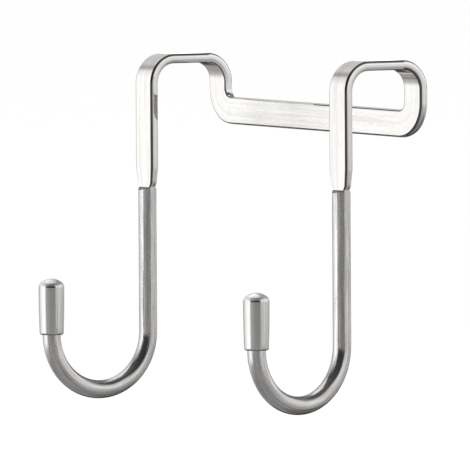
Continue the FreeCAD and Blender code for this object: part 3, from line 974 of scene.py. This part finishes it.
def add_panel(tree, y, compass, height, below, name, panel):
    """Hang one panel in the tent, in front of what lies below it in the node tree."""
    centre, half_width, softness, level, stops = panel
    toward = (math.cos(math.radians(centre)), math.sin(math.radians(centre)), 0.0)
    facing = put_node(
        tree, "ShaderNodeVectorMath", -400, y, {1: toward}, operation="DOT_PRODUCT", label=name
    )
    tree.links.new(compass, facing.inputs[0])
    angle = put_node(tree, "ShaderNodeMath", -200, y, operation="ARCCOSINE")
    tree.links.new(facing.outputs["Value"], angle.inputs[0])
    edges = {
        "From Min": math.radians(half_width + softness),
        "From Max": math.radians(half_width - softness),
    }
    across = put_node(tree, "ShaderNodeMapRange", 0, y, edges, interpolation_type="SMOOTHSTEP")
    tree.links.new(angle.outputs["Value"], across.inputs["Value"])
    upright = height_ramp(tree, -100, y - 250, height, stops)
    both = put_node(tree, "ShaderNodeMath", 250, y, operation="MULTIPLY")
    tree.links.new(across.outputs["Result"], both.inputs[0])
    tree.links.new(upright, both.inputs[1])
    glow = {7: (level, level, level, 1.0)}
    shown = put_node(tree, "ShaderNodeMix", 450, y, glow, data_type="RGBA")
    tree.links.new(both.outputs["Value"], shown.inputs[0])
    tree.links.new(below, shown.inputs[6])
    return shown.outputs[2]


def tent_material():
    """Inside of the light tent: the room and the panels that hang in front of it."""
    material = bpy.data.materials.new("tent_cloth")
    material.use_nodes = True
    tree = material.node_tree
    tree.nodes.clear()
    link = tree.links.new
    out = put_node(tree, "ShaderNodeOutputMaterial", 1100, 0)
    where = put_node(tree, "ShaderNodeTexCoord", -1200, 0)
    ray = put_node(tree, "ShaderNodeVectorMath", -1000, 0, operation="NORMALIZE")
    link(where.outputs["Object"], ray.inputs[0])
    split = put_node(tree, "ShaderNodeSeparateXYZ", -800, 100)
    link(ray.outputs["Vector"], split.inputs["Vector"])
    height = range_node(tree, -600, 300, split.outputs["Z"], (-1.0, 1.0), (0.0, 1.0))
    level_ray = put_node(tree, "ShaderNodeCombineXYZ", -800, -150)
    link(split.outputs["X"], level_ray.inputs["X"])
    link(split.outputs["Y"], level_ray.inputs["Y"])
    compass = put_node(tree, "ShaderNodeVectorMath", -600, -150, operation="NORMALIZE")
    link(level_ray.outputs["Vector"], compass.inputs[0])
    shade = height_ramp(tree, 0, 400, height, TENT_ROOM)
    for row, (name, panel) in enumerate(TENT_PANELS.items()):
        shade = add_panel(tree, -500 * row, compass.outputs["Vector"], height, shade, name, panel)
    glow = put_node(tree, "ShaderNodeEmission", 900, 0)
    link(shade, glow.inputs["Color"])
    link(glow.outputs["Emission"], out.inputs["Surface"])
    material.cycles.emission_sampling = "NONE"
    return material


def white_world():
    """White paper all round, for the camera, for reflections and for what shines through."""
    world = bpy.data.worlds.new("white_paper")
    world.use_nodes = True
    paper = world.node_tree.nodes["Background"]
    paper.inputs["Color"].default_value = (1.0, 1.0, 1.0, 1.0)
    paper.inputs["Strength"].default_value = 1.0
    return world


def any_ray(tree, x, y):
    """1 for rays from the camera, from reflections and through glass."""
    rays = put_node(tree, "ShaderNodeLightPath", x - 300, y)
    first = put_node(tree, "ShaderNodeMath", x, y, operation="MAXIMUM")
    tree.links.new(rays.outputs["Is Camera Ray"], first.inputs[0])
    tree.links.new(rays.outputs["Is Glossy Ray"], first.inputs[1])
    second = put_node(tree, "ShaderNodeMath", x + 200, y, operation="MAXIMUM")
    tree.links.new(first.outputs["Value"], second.inputs[0])
    tree.links.new(rays.outputs["Is Transmission Ray"], second.inputs[1])
    return second.outputs["Value"]


def floor_material():
    """Plain white paper that keeps a soft shadow and stays white to the camera."""
    material = bpy.data.materials.new("stage_paper")
    material.use_nodes = True
    tree = material.node_tree
    tree.nodes.clear()
    link = tree.links.new
    out = put_node(tree, "ShaderNodeOutputMaterial", 900, 0)
    part = put_node(tree, "ShaderNodeMath", 300, 300, {1: FLOOR_GLOW}, operation="MULTIPLY")
    link(any_ray(tree, -100, 300), part.inputs[0])
    paper = put_node(tree, "ShaderNodeBsdfDiffuse", 300, 0)
    paper.inputs["Color"].default_value = (FLOOR_WHITE, FLOOR_WHITE, FLOOR_WHITE, 1.0)
    glow = put_node(tree, "ShaderNodeEmission", 300, -200, {"Strength": 1.0})
    mix = put_node(tree, "ShaderNodeMixShader", 600, 0)
    link(part.outputs["Value"], mix.inputs[0])
    link(paper.outputs["BSDF"], mix.inputs[1])
    link(glow.outputs["Emission"], mix.inputs[2])
    link(mix.outputs["Shader"], out.inputs["Surface"])
    return material


def hang_lamp(scene, name, place, width, power):
    """Hang a square soft lamp that lights the hook but isn't mirrored in it."""
    light = bpy.data.lights.new(name, "AREA")
    light.shape = "SQUARE"
    light.size = width
    light.energy = power
    lamp = bpy.data.objects.new(name, light)
    scene.collection.objects.link(lamp)
    lamp.location = place
    lamp.rotation_euler = (Vector(LAMP_TARGET) - lamp.location).to_track_quat("-Z", "Y").to_euler()
    lamp.visible_glossy = False


class HOOK_OT_set_stage(Operator):
    """Set up the floor, the light tent, the lamps and the camera"""

    bl_idname = "hook.set_stage"
    bl_label = "Set Stage"

    def execute(self, context):
        stage = context.scene.hook_stage
        scene = context.scene
        start_afresh()
        floor_z = CAD_LOW.z - stage.floor_drop
        bpy.ops.mesh.primitive_plane_add(size=FLOOR_SIZE, location=(0, 0, floor_z))
        floor = context.object
        floor.name = "floor"
        floor.data.materials.append(floor_material())
        floor.visible_glossy = False

        bpy.ops.mesh.primitive_uv_sphere_add(segments=64, ring_count=32, radius=TENT_RADIUS)
        tent = context.object
        tent.name = "light_tent"
        tent.data.materials.append(tent_material())
        for kind in ("camera", "diffuse", "transmission", "volume_scatter", "shadow"):
            setattr(tent, "visible_" + kind, False)

        scene.world = white_world()
        for name, (place, width, power) in LAMPS.items():
            hang_lamp(scene, name, place, width, power * stage.key_power)
        set_camera(scene)
        scene.view_settings.view_transform = "Standard"
        return {"FINISHED"}


def set_camera(scene):
    """Stand the camera at the photograph's viewpoint."""
    lens = bpy.data.cameras.new("camera")
    lens.sensor_width = CAMERA_SENSOR
    lens.lens = CAMERA_LENS
    lens.clip_start = 0.1
    lens.clip_end = 100.0
    camera = bpy.data.objects.new("camera", lens)
    scene.collection.objects.link(camera)
    level = Vector((math.cos(CAMERA_YAW), math.sin(CAMERA_YAW), 0))
    flat_forward = Vector((-math.sin(CAMERA_YAW), math.cos(CAMERA_YAW), 0))
    forward = flat_forward * math.cos(CAMERA_PITCH) + Vector((0, 0, math.sin(CAMERA_PITCH)))
    upright = level.cross(forward)
    right = math.cos(CAMERA_ROLL) * level + math.sin(CAMERA_ROLL) * upright
    up = math.cos(CAMERA_ROLL) * upright - math.sin(CAMERA_ROLL) * level
    camera.location = CAMERA_PLACE
    camera.rotation_euler = Matrix((right, up, -forward)).transposed().to_euler()
    scene.camera = camera


class HOOK_PT_panel(Panel):
    """Sizes, finish and stage of the hook, with a button for each step"""

    bl_label = "Over Door Hook"
    bl_idname = "HOOK_PT_panel"
    bl_space_type = "VIEW_3D"
    bl_region_type = "UI"
    bl_category = "Door Hook"

    def draw(self, context):
        scene = context.scene
        for title, settings, operator in (
            ("Rod", scene.hook_rod, HOOK_OT_bend_rod.bl_idname),
            ("Caps", scene.hook_cap, HOOK_OT_press_caps.bl_idname),
            ("Finish", scene.hook_finish, None),
            ("Stage", scene.hook_stage, HOOK_OT_set_stage.bl_idname),
        ):
            box = self.layout.box()
            box.label(text=title)
            for name in settings.__annotations__:
                box.prop(settings, name)
            if operator:
                box.operator(operator)


CLASSES = (
    RodSizes,
    CapSizes,
    SteelFinish,
    StageSettings,
    HOOK_OT_bend_rod,
    HOOK_OT_press_caps,
    HOOK_OT_set_stage,
    HOOK_PT_panel,
)
SETTINGS = (
    ("hook_rod", RodSizes),
    ("hook_cap", CapSizes),
    ("hook_finish", SteelFinish),
    ("hook_stage", StageSettings),
)


def register():
    for kind in CLASSES:
        bpy.utils.register_class(kind)
    for name, kind in SETTINGS:
        setattr(bpy.types.Scene, name, PointerProperty(type=kind))


def unregister():
    for name, kind in SETTINGS:
        delattr(bpy.types.Scene, name)
    for kind in reversed(CLASSES):
        bpy.utils.unregister_class(kind)


def main():
    """Make the hook and its stage."""
    register()
    bpy.ops.hook.bend_rod()
    bpy.ops.hook.press_caps()
    bpy.ops.hook.set_stage()


if __name__ == "__main__":
    main()
